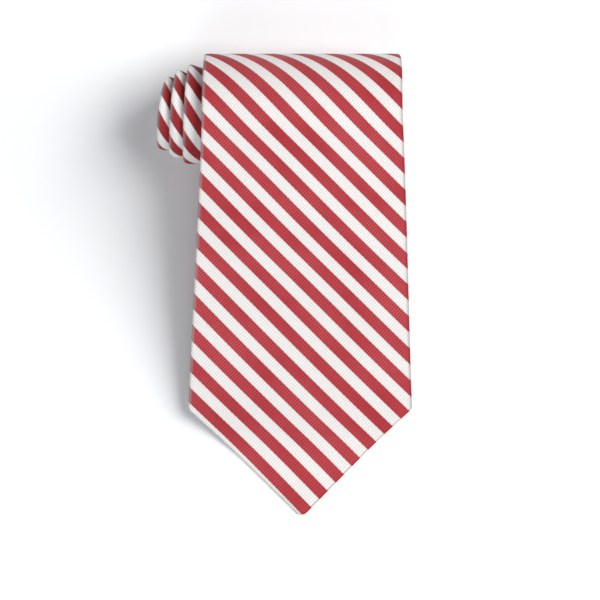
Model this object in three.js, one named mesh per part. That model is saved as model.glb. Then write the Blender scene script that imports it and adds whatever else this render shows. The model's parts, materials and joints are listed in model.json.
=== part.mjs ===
// A striped necktie, rolled up from its narrow end, with the wide blade lying out in front of the coil.
//
// Millimetres, +Z up. The blade's point faces -Y, the coil lies across the back along X.
// Every layer of the tie is laid out on one strip: "along" is the distance from the blade's point,
// "across" is the distance from the centre line, and "out" is the height towards the face side.
// The strip lies on the floor at the point, climbs to the top of the coil and winds inwards.
import * as THREE from 'three';

// Lengths along the strip, from the blade's point
const TIE_LENGTH = 1450;
const FLAP_LENGTH = 171; // the part that is not wound up
const LIFT_AHEAD = 15; // the blade lifts about a line this far in front of where it meets the coil
const NECK_FROM = 640; // the taper from the blade ends here
const NECK_TO = 860; // the narrow end starts to widen here
const NECK_JOIN = 655; // seam between the blade's cloth and the neck piece
const TAIL_JOIN = 1010; // seam between the neck piece and the narrow end's cloth
const INTERLINING_JOIN = 780;

// Widths across the strip
const BLADE_WIDTH = 95;
const NECK_WIDTH = 38;
const TAIL_WIDTH = 48;
const POINT_WIDTH = 2.4; // a sewn point is never quite sharp
const HEM = 8; // cloth turned back along the pointed ends
const SEAM_GAP = 0.8; // between the two back wings, where the slip stitching lies

// Thicknesses
const CLOTH = 0.25;
const INTERLINING = 0.5;
const LINING = 0.15;
const LAYER_GAP = 0.08;
const TURN_GAP = 0.16; // between one turn of the coil and the next
const END_GAP = 0.3; // between pieces that meet end to end
const SIDE_GAP = 0.3; // between the interlining and the folded edges

// The pointed ends: where the back wings part, and how far the lining runs under them
const BLADE_OPENING = 85;
const BLADE_LINING = 104;
const TAIL_OPENING = 46;
const TAIL_LINING = 58;

// The keeper loop and the care label, on the back of the blade
const LOOP_WIDTH = 12;
const LOOP_SPAN = 48;
const LOOP_FOOT = 5;
const LOOP_THICKNESS = 0.4;
const LOOP_RISE = 0.9;
const LOOP_RAMP = 2.7; // the band climbs over this much of its span
const LOOP_GAP = 9; // between the keeper and the label
const TACK_WIDTH = 2;
const TACK_LENGTH = 8;
const TACK_THICKNESS = 0.3;
const LABEL_LENGTH = 18;
const LABEL_WIDTH = 26;
const LABEL_THICKNESS = 0.2;
const LABEL_GAP = 5; // between the label and the lifting line

// Sewing thread
const THREAD = 0.22;
const THREAD_WANDER = 0.12; // how far the slip stitching swings from side to side
const THREAD_SINK = 0.02; // and how far it lies inside the back face
const JOIN_MARGIN = 1; // the stitching of a join stops this far from the folded edges
const BAR_TACK_LENGTH = 4;
const BAR_TACK_WIDTH = 0.5;

// How the tie lies
const CORE_RADIUS = 3.6; // middle of the strip at the very inside of the coil
const FLAT_LENGTH = 20; // the blade's point lies flat on the floor
const LIFT_RADIUS = 50; // then the blade bends up towards the coil
const LIFT_STEPS = 3;
const STEPS_PER_TURN = 12;

// How far each turn's left edge steps out past the blade's edge: [turn, distance].
// Whole turns are on top, quarters at the back and three quarters at the front.
// Turns 4, 6 and 8 step out to the left, and the turns between them stay hidden inside.
const STEPS_OUT = [
  [0.25, -0.8], [0.5, -1.5], [0.75, 1.9], [1, -1.5], [2.25, -2.5], [3.25, -2],
  [3.75, 8.4], [4, 7.6], [4.25, 5.6], [5.25, 5.1],
  [5.75, 14.3], [6, 13.3], [6.25, 10.7], [7.25, 10.1],
  [7.75, 19.2], [8, 18.6], [8.25, 14.4], [8.5, 13.9], [15, 10.5],
];

const THICKNESS = 2 * CLOTH + INTERLINING + LINING + 3 * LAYER_GAP;
const PITCH = THICKNESS + TURN_GAP;
const FACE = THICKNESS / 2;
const FRONT_INSIDE = FACE - CLOTH;
const BACK_INSIDE = -FACE + CLOTH;
const INTERLINING_TOP = FRONT_INSIDE - LAYER_GAP;
const INTERLINING_BOTTOM = INTERLINING_TOP - INTERLINING;
const LINING_TOP = INTERLINING_BOTTOM - LAYER_GAP;
const LINING_BOTTOM = LINING_TOP - LINING;

const TURN = 2 * Math.PI;
const STEP = TURN / STEPS_PER_TURN;
const FIRST_ANGLE = -STEP / 2; // the flap leaves the coil half a step in front of its top
const OUTER_RADIUS = Math.sqrt(CORE_RADIUS ** 2 + PITCH * (TIE_LENGTH - FLAP_LENGTH) / Math.PI);
const COIL_HEIGHT = OUTER_RADIUS - PITCH / 2 + FACE; // the coil's middle, above the floor

const BLADE_CORNER = (BLADE_WIDTH - POINT_WIDTH) / 2;
const TAIL_CORNER = TIE_LENGTH - (TAIL_WIDTH - POINT_WIDTH) / 2;
const HEM_FROM = HEM + SEAM_GAP / 2 - POINT_WIDTH / 2; // nearer a point, the two hems meet

const LIFT_AT = FLAP_LENGTH - LIFT_AHEAD;
const LABEL_AT = LIFT_AT - LABEL_GAP - LABEL_LENGTH / 2;
const LOOP_AT = LABEL_AT - LABEL_LENGTH / 2 - LOOP_GAP - LOOP_WIDTH / 2;

// Bounds of the search for the flap's slope, and its number of halvings
const LEAST_SLOPE = 0.05;
const MOST_SLOPE = 1.2;
const HALVINGS = 60;

// Sections of a piece keep this far from its ends, and closer ones than the second are one
const END_CLEAR = 0.05;
const SAME_PLACE = 0.001;

const { clamp, lerp, inverseLerp } = THREE.MathUtils;

// Straight lines through [place, value] pairs
function along(pairs, place) {
  const last = pairs.length - 1;
  if (place <= pairs[0][0]) return pairs[0][1];
  if (place >= pairs[last][0]) return pairs[last][1];
  const i = pairs.findIndex(([at]) => at > place);
  const [from, to] = [pairs[i - 1], pairs[i]];
  return lerp(from[1], to[1], inverseLerp(from[0], to[0], place));
}

// Half the tie's width at a distance from the blade's point
function halfWidth(s) {
  const body = along([
    [BLADE_CORNER, BLADE_WIDTH], [NECK_FROM, NECK_WIDTH], [NECK_TO, NECK_WIDTH], [TAIL_CORNER, TAIL_WIDTH],
  ], s) / 2;
  return Math.min(body, POINT_WIDTH / 2 + s, POINT_WIDTH / 2 + TIE_LENGTH - s);
}

// Where a back wing's free edge lies, from the centre line
function wingEdge(s) {
  const seam = SEAM_GAP / 2;
  const bladeCorner = halfWidth(BLADE_CORNER) - HEM;
  const tailCorner = halfWidth(TAIL_CORNER) - HEM;
  if (s < BLADE_CORNER || s > TAIL_CORNER) return Math.max(seam, halfWidth(s) - HEM);
  return along([
    [BLADE_CORNER, bladeCorner], [BLADE_OPENING, seam],
    [TIE_LENGTH - TAIL_OPENING, seam], [TAIL_CORNER, tailCorner],
  ], s);
}

// How far the strip's centre line is moved to the side at a winding angle
function sideShift(s, angle) {
  const step = along([[FIRST_ANGLE / TURN, 0], ...STEPS_OUT], angle / TURN);
  return halfWidth(s) - halfWidth(FLAP_LENGTH) - step;
}

// The slope at which a flap of the set length reaches the coil's top from the floor
function flapSlope() {
  const rise = COIL_HEIGHT + OUTER_RADIUS - FACE;
  let [low, high] = [LEAST_SLOPE, MOST_SLOPE];
  for (let i = 0; i < HALVINGS; i += 1) {
    const slope = (low + high) / 2;
    const straight = (rise - LIFT_RADIUS * (1 - Math.cos(slope))) / Math.sin(slope);
    if (FLAT_LENGTH + LIFT_RADIUS * slope + straight > FLAP_LENGTH) low = slope;
    else high = slope;
  }
  return (low + high) / 2;
}

// The strip's middle line, as points { s, x, y, z }, from the blade's point to inside the coil
function middleLine() {
  const slope = flapSlope();
  const line = [{ s: 0, x: 0, y: 0, z: FACE }];
  for (let i = 0; i <= LIFT_STEPS; i += 1) {
    const bend = slope * i / LIFT_STEPS;
    line.push({
      s: FLAT_LENGTH + LIFT_RADIUS * bend,
      x: 0,
      y: FLAT_LENGTH + LIFT_RADIUS * Math.sin(bend),
      z: FACE + LIFT_RADIUS * (1 - Math.cos(bend)),
    });
  }
  const foot = line[line.length - 1];
  const coilY = foot.y + (FLAP_LENGTH - foot.s) * Math.cos(slope) + OUTER_RADIUS * Math.tan(STEP / 2);
  for (let i = 0, s = FLAP_LENGTH; s < TIE_LENGTH; i += 1) {
    const wound = i * STEP;
    const angle = FIRST_ANGLE + wound;
    const radius = (OUTER_RADIUS - PITCH * wound / TURN) / Math.cos(STEP / 2);
    s = FLAP_LENGTH + OUTER_RADIUS * wound - PITCH * wound ** 2 / (2 * TURN);
    line.push({
      s,
      x: sideShift(Math.min(s, TAIL_CORNER), angle),
      y: coilY + radius * Math.sin(angle),
      z: COIL_HEIGHT + radius * Math.cos(angle),
    });
  }
  return line;
}

// Each point of the line also gets its mitred way out, so that layers stay parallel round a bend
function withWayOut(line) {
  const normal = (from, to) => new THREE.Vector2(from.z - to.z, to.y - from.y).normalize();
  return line.map((point, i) => {
    const before = normal(line[Math.max(i - 1, 0)], line[Math.max(i, 1)]);
    const after = normal(line[Math.min(i, line.length - 2)], line[Math.min(i + 1, line.length - 1)]);
    const mitre = before.clone().add(after).normalize();
    return { ...point, out: mitre.divideScalar(mitre.dot(before)) };
  });
}

const STRIP = withWayOut(middleLine());

// The place in space of a point given by its distance along, across and out of the strip
function place(s, across, out) {
  const i = clamp(STRIP.findIndex((point) => point.s > s), 1, STRIP.length - 1);
  const [from, to] = [STRIP[i - 1], STRIP[i]];
  const share = inverseLerp(from.s, to.s, s);
  return new THREE.Vector3(
    lerp(from.x, to.x, share) + across,
    lerp(from.y + from.out.x * out, to.y + to.out.x * out, share),
    lerp(from.z + from.out.y * out, to.z + to.out.y * out, share),
  );
}

// The distances along the strip at which a piece needs a section: its ends, the strip's bends and its own
function sections(from, to, own = []) {
  const bends = [...STRIP.map((point) => point.s), ...own];
  const inside = bends.filter((s) => s > from + END_CLEAR && s < to - END_CLEAR);
  const sorted = [from, ...inside.sort((a, b) => a - b), to];
  return sorted.filter((s, i) => i === 0 || s - sorted[i - 1] > SAME_PLACE);
}

// A closed body whose section at s is the loop of [across, out] points that outline(s) gives.
// The loop runs anticlockwise, seen from the blade's point.
function layer(places, outline) {
  const loops = places.map((s) => outline(s));
  const size = loops[0].length;
  const points = loops.flatMap((loop, i) => loop.map(([across, out]) => place(places[i], across, out)));
  const index = [];
  for (let i = 0; i + 1 < loops.length; i += 1) {
    for (let j = 0; j < size; j += 1) {
      const [a, b] = [i * size + j, i * size + (j + 1) % size];
      index.push(b, a, a + size, b, a + size, b + size);
    }
  }
  const flat = (loop) => loop.map(([across, out]) => new THREE.Vector2(across, out));
  const cap = (loop) => THREE.ShapeUtils.triangulateShape(flat(loop), []);
  const end = (loops.length - 1) * size;
  cap(loops[0]).forEach(([a, b, c]) => index.push(a, b, c));
  cap(loops[loops.length - 1]).forEach(([a, b, c]) => index.push(end + a, end + c, end + b));
  const geometry = new THREE.BufferGeometry().setFromPoints(points);
  geometry.setIndex(index);
  geometry.computeVertexNormals();
  return geometry;
}

// A plain band from one distance across to another, between two heights
function band(left, right, bottom, top) {
  return [[left, bottom], [right, bottom], [right, top], [left, top]];
}

// The envelope's section: a front, two folded edges and two wings that stop at their free edges
function envelopeOutline(s) {
  const half = halfWidth(s);
  const edge = wingEdge(s);
  const inner = half - CLOTH;
  return [
    [edge, -FACE], [half, -FACE], [half, FACE], [-half, FACE], [-half, -FACE], [-edge, -FACE],
    [-edge, BACK_INSIDE], [-inner, BACK_INSIDE], [-inner, FRONT_INSIDE], [inner, FRONT_INSIDE],
    [inner, BACK_INSIDE], [edge, BACK_INSIDE],
  ];
}

const ENVELOPE_BENDS = [
  HEM_FROM, BLADE_CORNER, BLADE_OPENING, NECK_FROM, NECK_TO,
  TIE_LENGTH - TAIL_OPENING, TAIL_CORNER, TIE_LENGTH - HEM_FROM,
];

function envelope(from, to) {
  return layer(sections(from, to, ENVELOPE_BENDS), envelopeOutline);
}

function insideHalf(s) {
  return halfWidth(s) - CLOTH - SIDE_GAP;
}

function interlining(from, to) {
  const outline = (s) => band(-insideHalf(s), insideHalf(s), INTERLINING_BOTTOM, INTERLINING_TOP);
  return layer(sections(from, to, ENVELOPE_BENDS), outline);
}

function tipping(from, to) {
  const outline = (s) => band(-insideHalf(s), insideHalf(s), LINING_BOTTOM, LINING_TOP);
  return layer(sections(from, to, [BLADE_CORNER, TAIL_CORNER]), outline);
}

// A loose thread that swings from wing to wing inside the back seam
function slipStitching(from, to) {
  const places = sections(from, to);
  const outline = (s) => {
    const middle = THREAD_WANDER * (places.indexOf(s) % 2 ? 1 : -1);
    const low = -FACE + THREAD_SINK;
    return band(middle - THREAD / 2, middle + THREAD / 2, low, low + THREAD);
  };
  return layer(places, outline);
}

function barTack(at) {
  const outline = () => band(-BAR_TACK_WIDTH / 2, BAR_TACK_WIDTH / 2, -FACE, BACK_INSIDE);
  return layer(sections(at - BAR_TACK_LENGTH / 2, at + BAR_TACK_LENGTH / 2), outline);
}

// The row of stitches that joins two lengths of the envelope's cloth across the front
function joinStitching(at) {
  const half = halfWidth(at) - JOIN_MARGIN;
  const outline = () => band(-half, half, FRONT_INSIDE, FACE);
  return layer(sections(at - THREAD / 2, at + THREAD / 2), outline);
}

// The keeper: a band across the blade's back whose two feet are sewn to the wings
function keeperLoop() {
  const top = -FACE - LAYER_GAP;
  const half = LOOP_SPAN / 2;
  const foot = half - LOOP_FOOT;
  const bridge = foot - LOOP_RAMP;
  const low = top - LOOP_THICKNESS;
  const outline = () => [
    [-half, low], [-foot, low], [-bridge, low - LOOP_RISE], [bridge, low - LOOP_RISE], [foot, low],
    [half, low], [half, top], [foot, top], [bridge, top - LOOP_RISE], [-bridge, top - LOOP_RISE],
    [-foot, top], [-half, top],
  ];
  return layer(sections(LOOP_AT - LOOP_WIDTH / 2, LOOP_AT + LOOP_WIDTH / 2), outline);
}

function keeperTack(side) {
  const middle = side * (LOOP_SPAN - LOOP_FOOT) / 2;
  const top = -FACE - 2 * LAYER_GAP - LOOP_THICKNESS;
  const outline = () => band(middle - TACK_WIDTH / 2, middle + TACK_WIDTH / 2, top - TACK_THICKNESS, top);
  return layer(sections(LOOP_AT - TACK_LENGTH / 2, LOOP_AT + TACK_LENGTH / 2), outline);
}

function careLabel() {
  const top = -FACE - LAYER_GAP;
  const outline = () => band(-LABEL_WIDTH / 2, LABEL_WIDTH / 2, top - LABEL_THICKNESS, top);
  return layer(sections(LABEL_AT - LABEL_LENGTH / 2, LABEL_AT + LABEL_LENGTH / 2), outline);
}

const stripedCloth = new THREE.MeshStandardMaterial({ color: 0xc2565c, roughness: 0.75, metalness: 0 });
const wool = new THREE.MeshStandardMaterial({ color: 0xe9e4d8, roughness: 0.95, metalness: 0 });
const satinLining = new THREE.MeshStandardMaterial({ color: 0xa32a33, roughness: 0.5, metalness: 0 });
const sewingThread = new THREE.MeshStandardMaterial({ color: 0xb8313b, roughness: 0.7, metalness: 0 });
const labelRibbon = new THREE.MeshStandardMaterial({ color: 0xf4f2ec, roughness: 0.6, metalness: 0 });

function piece(name, geometry, material) {
  const mesh = new THREE.Mesh(geometry, material);
  mesh.name = name;
  return mesh;
}

const CLEAR = END_GAP / 2;
const POINT_CLEAR = 1.2; // the interlining and linings stop short of the points
const LOOSE_FROM = BLADE_OPENING + BAR_TACK_LENGTH; // slip stitching runs from tack to tack
const LOOSE_TO = TIE_LENGTH - TAIL_OPENING - BAR_TACK_LENGTH;

const blade = new THREE.Group();
blade.add(
  piece('blade_shell_flap', envelope(0, LIFT_AT - CLEAR), stripedCloth),
  piece('interlining_flap', interlining(POINT_CLEAR, LIFT_AT - CLEAR), wool),
  piece('blade_tipping', tipping(POINT_CLEAR, BLADE_LINING), satinLining),
  piece('blade_bar_tack', barTack(BLADE_OPENING + BAR_TACK_LENGTH / 2 - END_GAP), sewingThread),
  piece('seam_thread_flap', slipStitching(LOOSE_FROM, LIFT_AT - CLEAR), sewingThread),
  piece('keeper_loop', keeperLoop(), stripedCloth),
  piece('keeper_tack_left', keeperTack(-1), sewingThread),
  piece('keeper_tack_right', keeperTack(1), sewingThread),
  piece('care_label', careLabel(), labelRibbon),
);

const coil = new THREE.Group();
coil.add(
  piece('blade_shell_coil', envelope(LIFT_AT + CLEAR, NECK_JOIN - CLEAR), stripedCloth),
  piece('neck_shell', envelope(NECK_JOIN + CLEAR, TAIL_JOIN - CLEAR), stripedCloth),
  piece('tail_shell', envelope(TAIL_JOIN + CLEAR, TIE_LENGTH), stripedCloth),
  piece('neck_join_stitching', joinStitching(NECK_JOIN), sewingThread),
  piece('tail_join_stitching', joinStitching(TAIL_JOIN), sewingThread),
  piece('interlining_blade_half', interlining(LIFT_AT + CLEAR, INTERLINING_JOIN - CLEAR), wool),
  piece('interlining_tail_half', interlining(INTERLINING_JOIN + CLEAR, TIE_LENGTH - POINT_CLEAR), wool),
  piece('tail_tipping', tipping(TIE_LENGTH - TAIL_LINING, TIE_LENGTH - POINT_CLEAR), satinLining),
  piece('tail_bar_tack', barTack(TIE_LENGTH - TAIL_OPENING - BAR_TACK_LENGTH / 2 + END_GAP), sewingThread),
  piece('seam_thread_coil', slipStitching(LIFT_AT + CLEAR, LOOSE_TO), sewingThread),
);

// The whole tie, with its origin on the floor under the middle of its box
const necktie = new THREE.Group();
necktie.add(blade, coil);
const box = new THREE.Box3().setFromObject(necktie);
const middle = box.getCenter(new THREE.Vector3());
necktie.position.set(-middle.x, -middle.y, -box.min.z);

export default necktie;
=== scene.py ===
"""A striped necktie, rolled up from its narrow end, with the wide blade lying out in front of the coil."""

import json
import math

import bpy
import numpy as np
from bpy.props import FloatProperty, FloatVectorProperty, PointerProperty
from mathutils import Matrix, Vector


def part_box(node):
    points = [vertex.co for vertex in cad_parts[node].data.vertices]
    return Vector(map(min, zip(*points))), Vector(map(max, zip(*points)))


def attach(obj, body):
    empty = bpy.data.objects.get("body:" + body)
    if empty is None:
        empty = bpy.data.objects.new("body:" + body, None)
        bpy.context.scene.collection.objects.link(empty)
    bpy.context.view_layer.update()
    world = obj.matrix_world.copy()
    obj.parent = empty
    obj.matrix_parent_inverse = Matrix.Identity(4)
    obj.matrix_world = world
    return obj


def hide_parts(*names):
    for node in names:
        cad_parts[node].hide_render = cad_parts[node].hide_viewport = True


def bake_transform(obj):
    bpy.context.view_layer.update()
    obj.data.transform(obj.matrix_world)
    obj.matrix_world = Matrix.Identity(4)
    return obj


bl_info = {
    "name": "Rolled Necktie",
    "version": (1, 0, 0),
    "blender": (4, 5, 0),
    "location": "3D View > Sidebar > Necktie",
    "description": "Builds a rolled striped necktie round its packed frame",
    "category": "Add Mesh",
}

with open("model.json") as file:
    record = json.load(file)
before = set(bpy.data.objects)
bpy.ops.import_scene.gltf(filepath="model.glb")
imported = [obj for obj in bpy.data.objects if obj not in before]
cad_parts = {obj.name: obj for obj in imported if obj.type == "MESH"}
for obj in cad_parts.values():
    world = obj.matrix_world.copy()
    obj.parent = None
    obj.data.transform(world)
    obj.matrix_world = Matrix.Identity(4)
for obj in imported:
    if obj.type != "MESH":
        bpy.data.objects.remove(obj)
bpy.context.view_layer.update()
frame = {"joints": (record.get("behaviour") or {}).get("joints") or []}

MM = 0.001
TURN = 2 * math.pi

FLAP_LOW, FLAP_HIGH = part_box("blade_shell_flap")
COIL_LOW, COIL_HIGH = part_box("blade_shell_coil")
LIFT = next(joint for joint in frame["joints"] if joint["name"] == "blade_lift")


# ---------------- what a user can set


def length(name, description, millimetres):
    """A size in metres, given in millimetres."""
    return FloatProperty(
        name=name, description=description, default=millimetres * MM, min=0, unit="LENGTH", precision=5
    )


def colour(name, description, rgb):
    return FloatVectorProperty(
        name=name, description=description, default=rgb, size=3, min=0, max=1, subtype="COLOR"
    )


class TieSizes(bpy.types.PropertyGroup):
    """The cut of the tie and the way it is rolled."""

    tie_length: length("Tie length", "From point to point along the cloth", 1450)
    blade_width: length("Blade width", "Across the wide end's corners", 95)
    neck_width: length("Neck width", "The narrowest part", 38)
    tail_width: length("Narrow end width", "Across the narrow end's corners", 48)
    neck_from: length("Neck from", "Where the taper from the blade ends", 640)
    neck_to: length("Neck to", "Where the narrow end starts to widen", 860)
    neck_join: length("Neck join", "Seam between the blade's cloth and the neck piece", 655)
    tail_join: length("Narrow end join", "Seam between the neck piece and the narrow end", 1010)
    interlining_join: length("Interlining join", "Where the two lengths of wool meet", 780)
    hem: length("Hem", "Cloth turned back along the points", 8)
    blade_opening: length("Blade opening", "Where the back wings part, from the wide point", 86)
    tail_opening: length("Narrow opening", "Where the back wings part, from the narrow point", 46)
    overlap: length("Wing overlap", "How far the right back wing covers the left one", 6)
    cloth: length("Cloth thickness", "One layer of the striped cloth", 0.25)
    interlining: length("Interlining thickness", "The wool inside", 0.5)
    lining: length("Lining thickness", "The satin in the points", 0.15)
    layer_gap: length("Layer gap", "Air between two layers", 0.08)
    turn_gap: length("Turn gap", "Air between two turns of the coil", 0.16)
    flat_length: length("Flat length", "How much of the point lies flat", 20)
    lift_radius: length("Lift radius", "The bend between floor and flap", 50)
    fold_round: length("Fold roundness", "How far the folded edges round off", 1.1)


class TieWeave(bpy.types.PropertyGroup):
    """The pattern and colours of the cloths."""

    stripe_pitch: length("Stripe pitch", "One red and one white stripe, square across", 9.75)
    red_share: FloatProperty(
        name="Red share",
        description="Share of the pitch that is red",
        default=0.505,
        min=0,
        max=1,
        subtype="FACTOR",
    )
    rib_pitch: length("Rib pitch", "From one rib of the weave to the next", 1.08)
    end_pitch: length("Thread pitch", "From one warp thread to the next", 0.36)
    fleck_pitch: length("Fleck pitch", "Between the pale flecks that show along each rib", 1.25)
    red: colour("Red yarn", "Colour of the red stripes", (0.395, 0.021, 0.030))
    white: colour("White yarn", "Colour of the white stripes", (0.82, 0.785, 0.76))
    lining: colour("Lining", "Colour of the satin lining", (0.30, 0.018, 0.028))
    wool: colour("Wool", "Colour of the interlining", (0.72, 0.67, 0.57))
    thread: colour("Thread", "Colour of the sewing thread", (0.42, 0.03, 0.04))
    label: colour("Label", "Colour of the blank label", (0.80, 0.78, 0.73))


# ---------------- how the strip lies


def gently(x, places, values, reach=0.06):
    """Straight lines through the given values, with their bends rounded off."""
    nearby = np.linspace(-reach, reach, 9)
    return sum(np.interp(x + step, places, values) for step in nearby) / len(nearby)


def softly(x, low, high):
    """0 below low, 1 above high, and a soft rise between."""
    t = np.clip((x - low) / (high - low), 0, 1)
    return t * t * (3 - 2 * t)


def between(x, rise_from, rise_to, fade_from, fade_to):
    """0 on both sides and 1 in the middle, with a soft rise and a soft fade."""
    return softly(x, rise_from, rise_to) * (1 - softly(x, fade_from, fade_to))


class Strip:
    """The tie as one strip: along from the wide point, across from the centre line, out towards the face.

    All of its sizes are in millimetres, and lie() gives places in metres.
    """

    # How far each turn's left edge steps out past the blade's edge: (turn, distance).
    # Whole turns are on top, quarters at the back and three quarters at the front.
    STEPS_OUT = (
        (0.25, -0.8), (0.5, -1.5), (0.75, 1.9), (1, -1.5), (2.25, -2.5), (3.25, -2),
        (3.75, 8.4), (4, 7.6), (4.25, 5.6), (5.25, 5.1),
        (5.75, 14.3), (6, 13.3), (6.25, 10.7), (7.25, 10.1),
        (7.75, 19.2), (8, 18.6), (8.25, 14.4), (8.5, 13.9), (15, 10.5),
    )  # fmt: skip
    # The turns that step out: (turn, how far its free cloth puffs up, how far its rim opens at the back,
    # how far its stripes have crept along)
    FREE_TURNS = ((4, 0.3, 2.4, -6.7), (6, 0.7, 3.4, 5.7), (8, 0.7, 4.0, -2.0))
    # How far the stripes have crept along the bias cloth of the blade: (distance along, creep)
    BLADE_CREEP = ((36, 0), (100, -1.6), (155, 0), (186, 2.4), (215, 4.4), (300, 0))
    FIRST_ANGLE = -TURN / 24
    CORNER_ROUNDING = 1.6
    CORNER_CUT = 0.6
    POINT_ROUNDING = 3.0
    POINT_HALF = POINT_ROUNDING * (math.sqrt(2) - 1)
    FLAP_STEP = 1.2

    # What follows grows and fades softly. Each stretch says where: (rise from, to, fade from, to),
    # in millimetres along the strip or in from the left fold, or in turns past a free turn's top.
    # FLARE_ACROSS only fades, and WAVE_STRETCH fades out short of the coil.
    FULLNESS = 1.3
    FULL_STRETCH = (168, 212, 260, 330)
    LEAN = 0.9
    LEAN_STRETCH = (-20, 45, 45, 160)
    PUFF_TURNS = (-0.48, -0.34, 0.3, 0.46)
    PUFF_ACROSS = (0, 2.4, 5.2, 7.6)
    FLARE_TURNS = (-0.08, 0.2, 0.26, 0.48)
    FLARE_ACROSS = (-2.5, 6)

    # Ripples of the cloth that lies free: (share, millimetres a radian along and across, start)
    WAVE = 0.22
    RIPPLES = ((1, 17, 26, 0), (0.6, 29, -15, 1.3))
    WAVE_STRETCH = (25, 60, 120)
    WAVE_CLEAR = 6

    def __init__(self, sizes):
        mm = {name: getattr(sizes, name) / MM for name in TieSizes.__annotations__}
        self.__dict__.update(mm)
        self.thick = 2 * self.cloth + self.interlining + self.lining + 3 * self.layer_gap
        self.face = self.thick / 2
        self.pitch = self.thick + self.turn_gap
        self.point_y = FLAP_LOW.y / MM
        self.centre_x = (FLAP_LOW.x + FLAP_HIGH.x) / 2 / MM
        self.blade_corner = self.blade_width / 2 - self.POINT_HALF
        self.tail_corner = self.tie_length - self.tail_width / 2 + self.POINT_HALF
        self.outer = (COIL_HIGH.z - COIL_LOW.z) / MM / 2 - self.face + self.pitch / 4
        self.coil_z = COIL_HIGH.z / MM - self.face - self.outer
        self.coil_y = COIL_HIGH.y / MM - self.face - self.radius(TURN / 4)
        self.slope = self.flap_slope()
        self.flap_length = self.flat_length + self.lift_radius * self.slope + self.straight(self.slope)
        self.steps_out = ((-self.slope / TURN, 0), *self.STEPS_OUT)

    def radius(self, angle):
        """The coil's radius at the middle of the cloth, at a winding angle from its top."""
        return self.outer - self.pitch * (angle - self.FIRST_ANGLE) / TURN

    def straight(self, slope):
        """The flap's straight stretch, from the way it has to climb."""
        climb = self.coil_z + self.radius(-slope) * math.cos(slope) - self.face
        return (climb - self.lift_radius * (1 - math.cos(slope))) / math.sin(slope)

    def flap_slope(self):
        """The slope at which the flap touches the coil, found by halving."""
        low, high = 0.05, 1.2
        for _ in range(60):
            slope = (low + high) / 2
            climb_run = self.lift_radius * math.sin(slope) + self.straight(slope) * math.cos(slope)
            coil_front = self.coil_y - self.point_y - self.radius(-slope) * math.sin(slope)
            if self.flat_length + climb_run > coil_front:
                low = slope
            else:
                high = slope
        return (low + high) / 2

    def angle_at(self, s):
        """The winding angle at a distance along the strip. It is negative on the flap."""
        start = self.radius(-self.slope)
        wound = np.maximum(s - self.flap_length, 0)
        root = np.sqrt(np.maximum(start**2 - self.pitch * wound / math.pi, 0.01))
        return np.where(s < self.flap_length, -self.slope, (start - root) * TURN / self.pitch - self.slope)

    def distance_at(self, angle):
        """The distance along the strip at a winding angle."""
        turned = angle + self.slope
        return self.flap_length + self.radius(-self.slope) * turned - self.pitch * turned**2 / (2 * TURN)

    def half_width(self, s):
        """Half the folded strip's width, with its points and corners rounded."""
        body = np.interp(
            s,
            (self.blade_corner, self.neck_from, self.neck_to, self.tail_corner),
            (self.blade_width / 2, self.neck_width / 2, self.neck_width / 2, self.tail_width / 2),
        )
        body = body + self.FULLNESS * between(s, *self.FULL_STRETCH)
        from_point = np.minimum(s, self.tie_length - s)
        arc = np.sqrt(np.maximum(from_point * (2 * self.POINT_ROUNDING - from_point), 0))
        arc_length = self.POINT_ROUNDING * (1 - math.sqrt(0.5))
        point = np.where(from_point < arc_length, arc, from_point + self.POINT_HALF)
        k = self.CORNER_ROUNDING
        meet = np.clip(0.5 + (point - body) / (2 * k), 0, 1)
        return point + (body - point) * meet - k * meet * (1 - meet) * self.CORNER_CUT

    def side_shift(self, s, angle):
        """How far the centre line has moved to the right."""
        turns, steps = zip(*self.steps_out, strict=True)
        inside = np.minimum(s, self.tail_corner - 4)
        widened = self.half_width(inside) - self.half_width(self.flap_length)
        return np.where(s > self.flap_length, widened - gently(angle / TURN, turns, steps), 0)

    def lean(self, s):
        """How far the blade's pointed end has swung to the right: below zero, because it swings left."""
        return -self.LEAN * between(s, *self.LEAN_STRETCH)

    def puff(self, s, from_left):
        """How far the free cloth at a stepped-out turn's left edge stands out."""
        turn = self.angle_at(s) / TURN
        free = sum(
            height * between(turn - at, *self.PUFF_TURNS) for at, height, _, _ in self.FREE_TURNS
        )
        return free * between(from_left, *self.PUFF_ACROSS)

    def flare(self, s, from_left):
        """How far the rim of a stepped-out turn opens outwards at the coil's back."""
        turn = self.angle_at(s) / TURN
        open_by = sum(
            flare * between(turn - at, *self.FLARE_TURNS) for at, _, flare, _ in self.FREE_TURNS
        )
        return open_by * (1 - softly(from_left, *self.FLARE_ACROSS))

    def wave(self, s, across):
        """The slight unevenness of cloth that lies free. It only ever lifts the cloth."""
        free = between(s, *self.WAVE_STRETCH, self.flap_length - self.WAVE_CLEAR)
        ripple = sum(
            share * (1 + np.sin(s / along + across / aside + start))
            for share, along, aside, start in self.RIPPLES
        )
        return self.WAVE * free * ripple

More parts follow.
